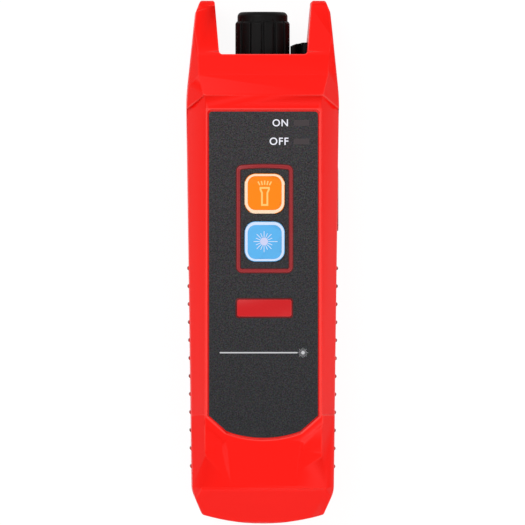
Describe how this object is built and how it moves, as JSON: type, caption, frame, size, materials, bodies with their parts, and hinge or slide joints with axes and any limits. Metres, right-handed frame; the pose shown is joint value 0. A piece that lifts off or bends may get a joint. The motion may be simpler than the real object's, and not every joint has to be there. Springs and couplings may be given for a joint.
{
  "type": "visual fault locator",
  "caption": "Handheld visual fault locator for optical fibre: two-shell grip with a forked nose, ferrule port under a tethered dust cap, torch lamp, two keys and a sliding battery door.",
  "frame": {"origin": "centre of the footprint, on the plane of the two runners along the back", "axes": "+Z out of the face with the keys, +Y along the body towards the port and the horns, +X to the right when the face is read with the port at the top"},
  "size_m": [0.0509, 0.175, 0.033],
  "materials": {
    "red_shell": "fine-grained satin",
    "overlay_film": "fine-grained, matt",
    "orange_key": "satin",
    "blue_key": "satin",
    "dark_plastic": "satin",
    "switch_metal": "brushed",
    "light_guide": "smoked, clear",
    "led_body": "gloss",
    "board_green": "solder mask",
    "screw_steel": "zinc plated",
    "capacitor_can": "satin",
    "nose_black": "satin",
    "port_metal": "nickel plated",
    "black_rubber": "matt",
    "white_ceramic": "ground",
    "barrel_brass": "turned",
    "lens_glass": "polished",
    "diode_metal": "plated",
    "led_lens": "clear, domed",
    "cell_wrap": "printed wrap",
    "contact_nickel": "nickel plated"
  },
  "bodies": {
    "housing": {"battery_cell_left": "cell_wrap", "battery_cell_right": "cell_wrap", "board_screws": "screw_steel", "cap_tether": "black_rubber", "capacitor": "capacitor_can", "circuit_board": "board_green", "contact_high_left": "contact_nickel", "contact_high_right": "contact_nickel", "contact_low_left": "contact_nickel", "contact_low_right": "contact_nickel", "control_chip": "dark_plastic", "driver_chip": "dark_plastic", "ferrule_sleeve": "white_ceramic", "focus_lens": "lens_glass", "front_overlay": "overlay_film", "front_shell": "red_shell", "housing_screws": "screw_steel", "laser_barrel": "barrel_brass", "laser_diode": "diode_metal", "laser_switch": "switch_metal", "lower_indicator_led": "led_body", "lower_light_guide": "light_guide", "nose_panel": "nose_black", "port_adapter": "port_metal", "port_seal": "black_rubber", "rear_shell": "red_shell", "torch_bezel": "port_metal", "torch_led": "led_lens", "torch_switch": "switch_metal", "upper_indicator_led": "led_body", "upper_light_guide": "light_guide"},
    "torch_button": {"torch_key": "orange_key", "torch_plunger": "dark_plastic"},
    "laser_button": {"laser_key": "blue_key", "laser_plunger": "dark_plastic"},
    "cap": {"dust_cap": "black_rubber"},
    "door": {"battery_door": "red_shell"}
  },
  "joints": [
    {"name": "torch_key_press", "type": "slide", "parent": "housing", "child": "torch_button", "axis": [0, 0, -1], "range_m": [0, 0.0006], "stiffness_N_per_m": 1500, "springref_m": -0.0003},
    {"name": "laser_key_press", "type": "slide", "parent": "housing", "child": "laser_button", "axis": [0, 0, -1], "range_m": [0, 0.0006], "stiffness_N_per_m": 1500, "springref_m": -0.0003},
    {"name": "dust_cap_pull", "type": "slide", "parent": "housing", "child": "cap", "axis": [0, 1, 0], "range_m": [0, 0.018], "deforming": ["cap_tether"]},
    {"name": "battery_door_slide", "type": "slide", "parent": "housing", "child": "door", "axis": [0, -1, 0], "range_m": [0, 0.055]}
  ]
}
